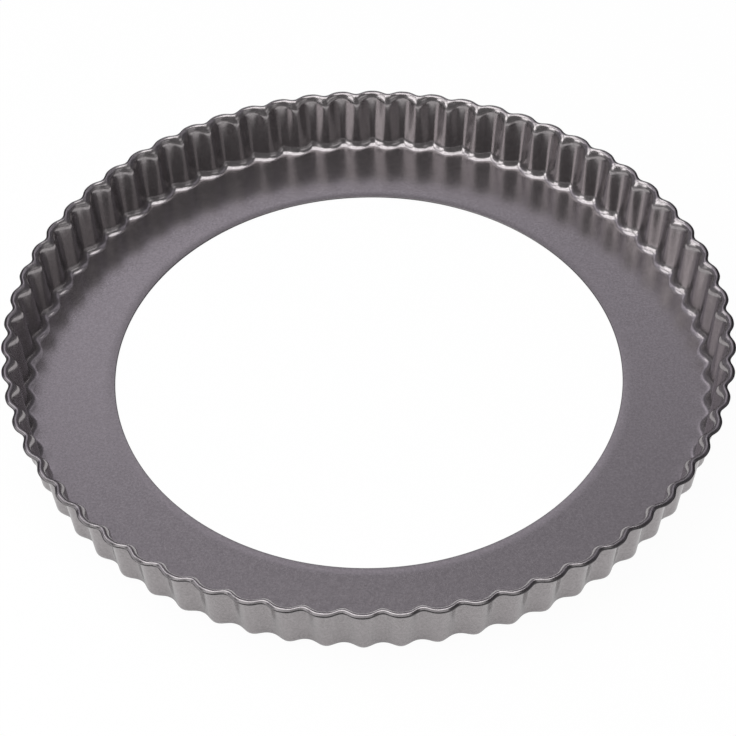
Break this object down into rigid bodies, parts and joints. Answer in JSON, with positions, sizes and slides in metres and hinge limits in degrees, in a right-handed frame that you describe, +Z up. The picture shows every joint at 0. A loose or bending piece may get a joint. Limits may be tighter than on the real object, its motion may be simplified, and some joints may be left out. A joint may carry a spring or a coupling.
{
  "type": "fluted loose-base tart pan",
  "caption": "Shallow round tart pan of dark coated steel: a fluted, flaring ring with a flat ledge round an open centre, and a flat loose base disc that lies beside it.",
  "frame": {"origin": "on the table plane, under the middle of the ring and the base together", "axes": "+X from the ring towards the base that lies beside it, +Y away from the picture's viewer, +Z up out of the open pan"},
  "size_m": [0.5876, 0.3002, 0.028],
  "materials": {
    "coated_steel": "satin dark grey non-stick coating"
  },
  "bodies": {
    "ring": {"fluted_ring": "coated_steel"},
    "base": {"loose_base": "coated_steel"}
  },
  "joints": [
    {"name": "base_lift", "type": "slide", "parent": "ring", "child": "base", "axis": [0, 0, 1], "range_m": [0, 0.06]}
  ]
}
